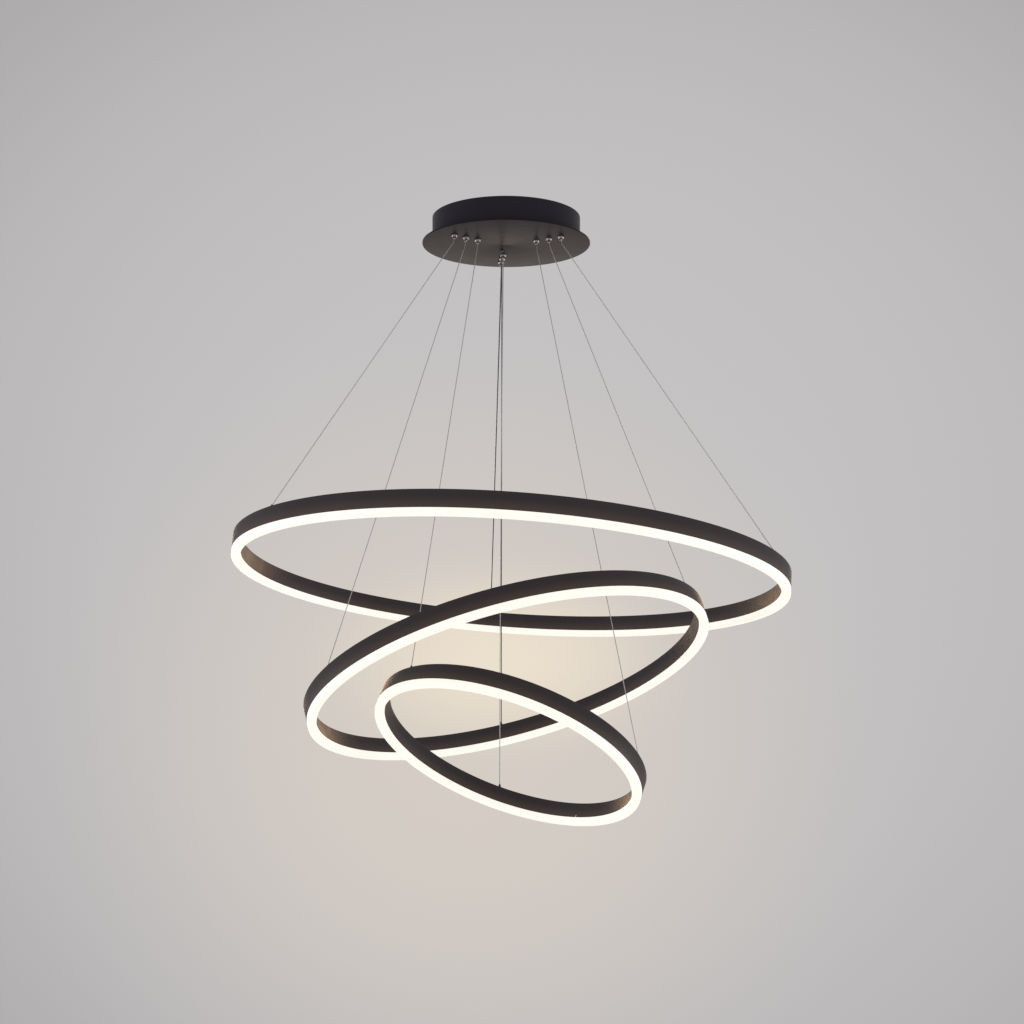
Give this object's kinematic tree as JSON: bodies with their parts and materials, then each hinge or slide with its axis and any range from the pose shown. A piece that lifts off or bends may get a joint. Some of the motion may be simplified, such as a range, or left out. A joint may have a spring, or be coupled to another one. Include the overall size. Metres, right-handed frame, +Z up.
{
  "type": "led ring chandelier",
  "caption": "Ceiling chandelier: lit rings of falling size hang tilted on height-adjustable steel cables from a round canopy that holds their drivers.",
  "frame": {"origin": "centre of the ceiling plane, on top of the ceiling bracket", "axes": "+Z up into the ceiling, -Y towards the viewer, +X to the viewer's right, along the ceiling bracket"},
  "size_m": [0.8002, 0.7978, 0.9011],
  "materials": {
    "ring_paint": "matt near-black brown coat",
    "black_painted_steel": "matt black coat",
    "bronze_painted_steel": "satin dark warm grey coat",
    "zinc_plated_steel": "zinc plated",
    "chrome": "polished chrome plate",
    "steel_cable": "stranded steel cable",
    "black_lead": "black insulated lead",
    "clear_lead": "clear grey insulated lead",
    "black_plastic": "moulded black plastic",
    "opal_diffuser": "opal diffuser, lit warm white",
    "led_board": "white coated aluminium circuit board",
    "driver_plastic": "white moulded case",
    "foam_pad": "grey adhesive foam",
    "terminal_plastic": "natural moulded plastic",
    "brass": "plain brass"
  },
  "bodies": {
    "canopy": {"ceiling_bracket": "zinc_plated_steel", "canopy_housing": "black_painted_steel", "canopy_plate": "bronze_painted_steel", "plate_nuts": "zinc_plated_steel", "housing_screws": "black_painted_steel", "earth_screw": "brass", "terminal_block": "terminal_plastic", "driver_pads": "foam_pad", "lead_bush": "black_plastic", "gripper_barrels": "chrome", "led_driver_big": "driver_plastic", "suspension_cable_big_far": "steel_cable", "suspension_cable_big_left": "steel_cable", "suspension_cable_big_right": "steel_cable", "power_lead_big": "black_lead", "led_driver_middle": "driver_plastic", "suspension_cable_middle_far": "steel_cable", "suspension_cable_middle_left": "steel_cable", "suspension_cable_middle_right": "steel_cable", "power_lead_middle": "black_lead", "led_driver_small": "driver_plastic", "suspension_cable_small_far": "steel_cable", "suspension_cable_small_left": "steel_cable", "suspension_cable_small_right": "steel_cable", "power_lead_small": "clear_lead"},
    "big_ring": {"ring_frame_big": "ring_paint", "diffuser_big": "opal_diffuser", "led_boards_big": "led_board", "splice_bar_big": "zinc_plated_steel", "cable_anchors_big": "ring_paint", "lead_inlet_big": "black_plastic"},
    "middle_ring": {"ring_frame_middle": "ring_paint", "diffuser_middle": "opal_diffuser", "led_boards_middle": "led_board", "splice_bar_middle": "zinc_plated_steel", "cable_anchors_middle": "ring_paint", "lead_inlet_middle": "black_plastic"},
    "small_ring": {"ring_frame_small": "ring_paint", "diffuser_small": "opal_diffuser", "led_boards_small": "led_board", "splice_bar_small": "zinc_plated_steel", "cable_anchors_small": "ring_paint", "lead_inlet_small": "black_plastic"},
    "big_far_plunger": {"gripper_plunger_big_far": "chrome"},
    "big_left_plunger": {"gripper_plunger_big_left": "chrome"},
    "big_right_plunger": {"gripper_plunger_big_right": "chrome"},
    "middle_far_plunger": {"gripper_plunger_middle_far": "chrome"},
    "middle_left_plunger": {"gripper_plunger_middle_left": "chrome"},
    "middle_right_plunger": {"gripper_plunger_middle_right": "chrome"},
    "small_far_plunger": {"gripper_plunger_small_far": "chrome"},
    "small_left_plunger": {"gripper_plunger_small_left": "chrome"},
    "small_right_plunger": {"gripper_plunger_small_right": "chrome"}
  },
  "joints": [
    {"name": "big_ring_lift", "type": "slide", "parent": "canopy", "child": "big_ring", "axis": [0, 0, 1], "range_m": [0, 0.1], "deforming": ["suspension_cable_big_far", "suspension_cable_big_left", "suspension_cable_big_right", "power_lead_big"]},
    {"name": "middle_ring_lift", "type": "slide", "parent": "canopy", "child": "middle_ring", "axis": [0, 0, 1], "range_m": [0, 0.1], "deforming": ["suspension_cable_middle_far", "suspension_cable_middle_left", "suspension_cable_middle_right", "power_lead_middle"]},
    {"name": "small_ring_lift", "type": "slide", "parent": "canopy", "child": "small_ring", "axis": [0, 0, 1], "range_m": [0, 0.1], "deforming": ["suspension_cable_small_far", "suspension_cable_small_left", "suspension_cable_small_right", "power_lead_small"]},
    {"name": "big_far_release", "type": "slide", "parent": "canopy", "child": "big_far_plunger", "axis": [0, 0, 1], "range_m": [0, 0.0015], "stiffness_N_per_m": 400, "springref_m": -0.002},
    {"name": "big_left_release", "type": "slide", "parent": "canopy", "child": "big_left_plunger", "axis": [0, 0, 1], "range_m": [0, 0.0015], "stiffness_N_per_m": 400, "springref_m": -0.002},
    {"name": "big_right_release", "type": "slide", "parent": "canopy", "child": "big_right_plunger", "axis": [0, 0, 1], "range_m": [0, 0.0015], "stiffness_N_per_m": 400, "springref_m": -0.002},
    {"name": "middle_far_release", "type": "slide", "parent": "canopy", "child": "middle_far_plunger", "axis": [0, 0, 1], "range_m": [0, 0.0015], "stiffness_N_per_m": 400, "springref_m": -0.002},
    {"name": "middle_left_release", "type": "slide", "parent": "canopy", "child": "middle_left_plunger", "axis": [0, 0, 1], "range_m": [0, 0.0015], "stiffness_N_per_m": 400, "springref_m": -0.002},
    {"name": "middle_right_release", "type": "slide", "parent": "canopy", "child": "middle_right_plunger", "axis": [0, 0, 1], "range_m": [0, 0.0015], "stiffness_N_per_m": 400, "springref_m": -0.002},
    {"name": "small_far_release", "type": "slide", "parent": "canopy", "child": "small_far_plunger", "axis": [0, 0, 1], "range_m": [0, 0.0015], "stiffness_N_per_m": 400, "springref_m": -0.002},
    {"name": "small_left_release", "type": "slide", "parent": "canopy", "child": "small_left_plunger", "axis": [0, 0, 1], "range_m": [0, 0.0015], "stiffness_N_per_m": 400, "springref_m": -0.002},
    {"name": "small_right_release", "type": "slide", "parent": "canopy", "child": "small_right_plunger", "axis": [0, 0, 1], "range_m": [0, 0.0015], "stiffness_N_per_m": 400, "springref_m": -0.002}
  ]
}
